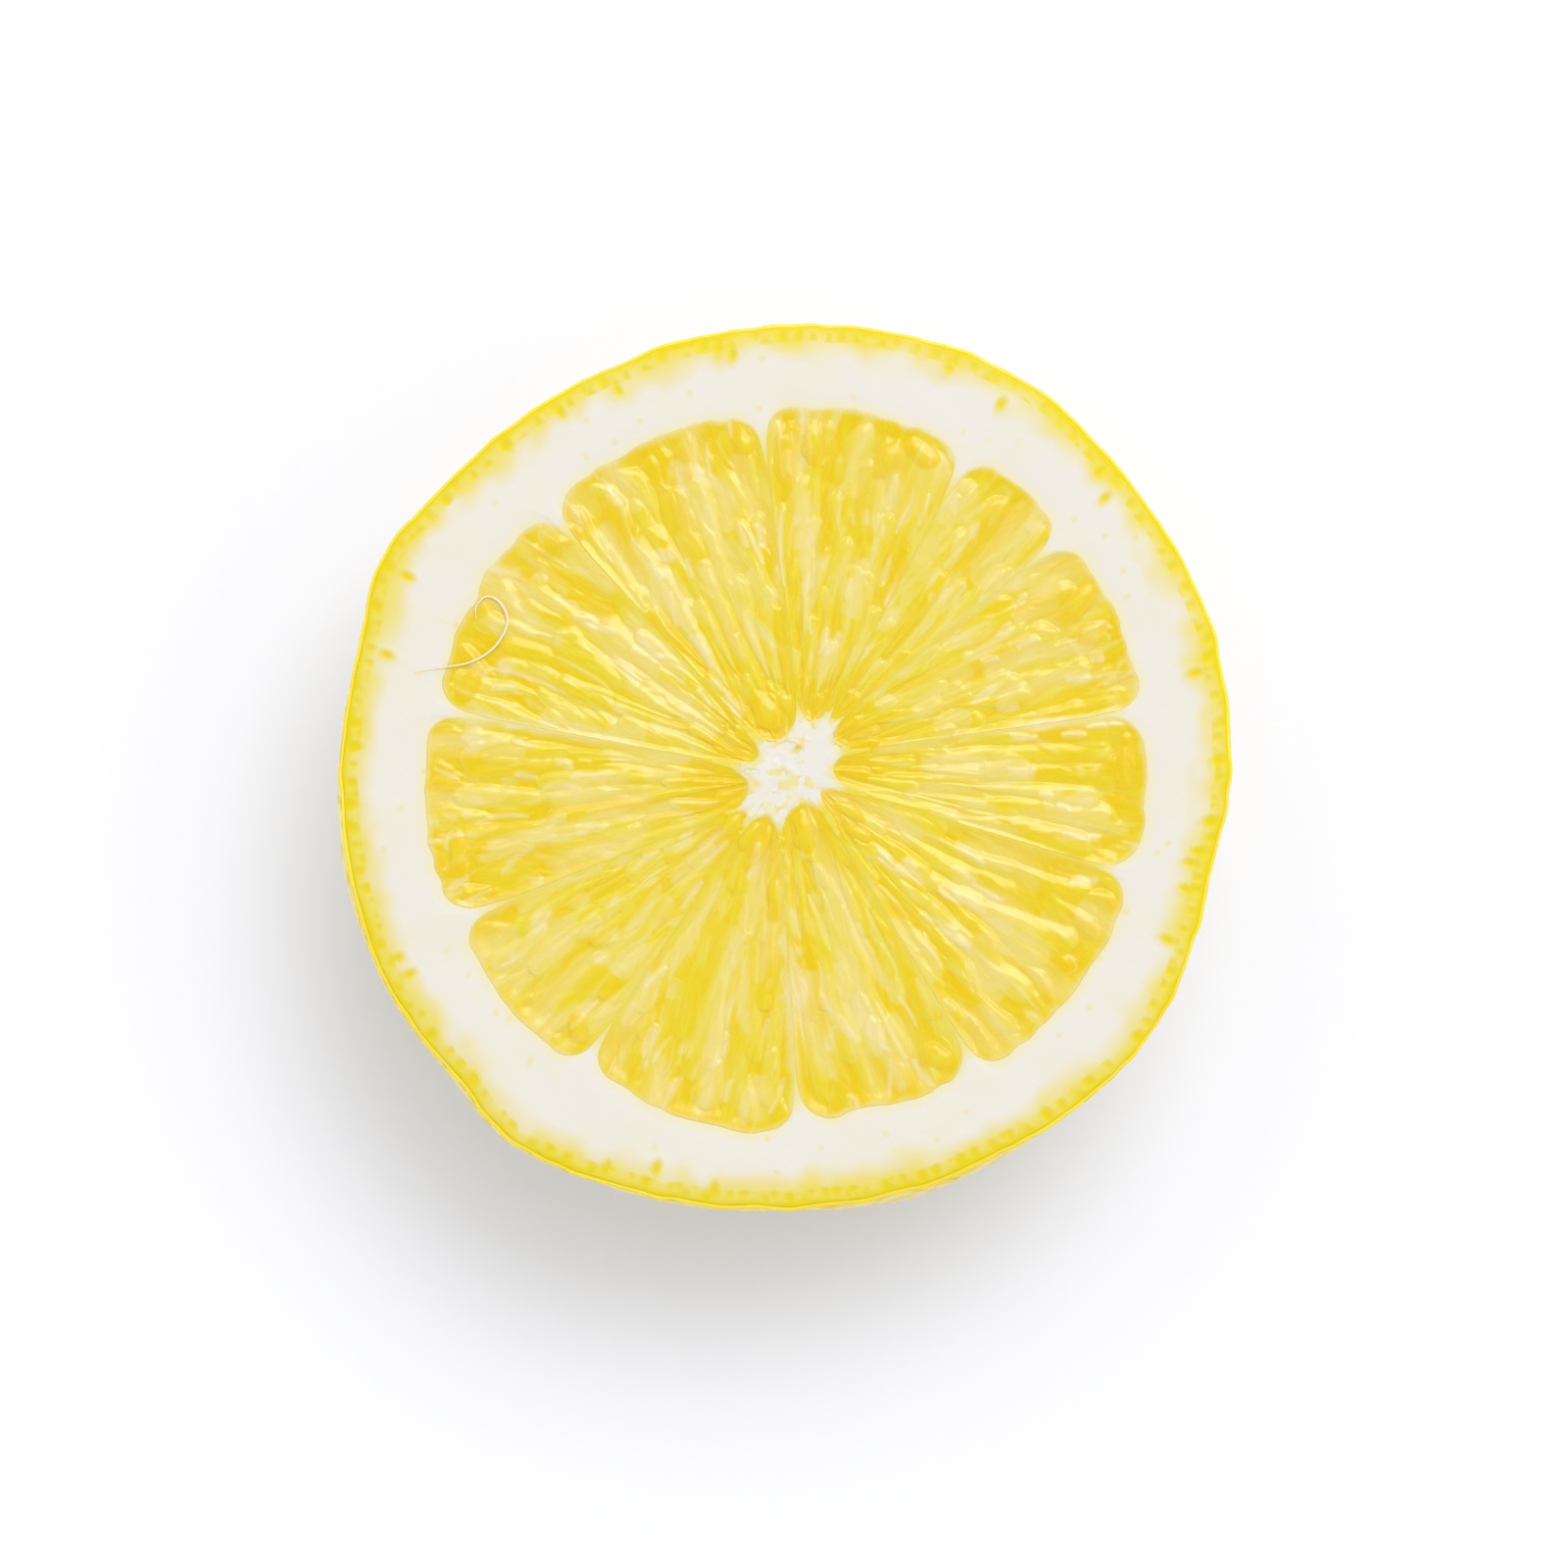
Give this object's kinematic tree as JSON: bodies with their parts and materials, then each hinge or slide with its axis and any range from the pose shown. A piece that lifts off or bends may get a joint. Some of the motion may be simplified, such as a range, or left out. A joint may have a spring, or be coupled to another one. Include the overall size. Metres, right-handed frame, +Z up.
{
  "type": "halved lemon",
  "caption": "Lemon cut across its middle, cut face up: bumpy yellow peel, white pith, wedges of glossy flesh and a star-shaped core.",
  "frame": {"origin": "on the surface the half lemon stands on, under the middle of its outline", "axes": "+Z up out of the cut face, along the fruit's own axis; seen from above, +X to the right and +Y to the top of the cut face"},
  "size_m": [0.0601, 0.0599, 0.036],
  "materials": {
    "peel": "waxy yellow citrus peel with fine pores, satin",
    "pith": "soft matt white pith, yellow towards the peel",
    "flesh": "wet translucent yellow juice sacs",
    "core": "spongy white core and thin pale walls"
  },
  "bodies": {
    "root": {"lemon_half": "peel"}
  },
  "joints": []
}
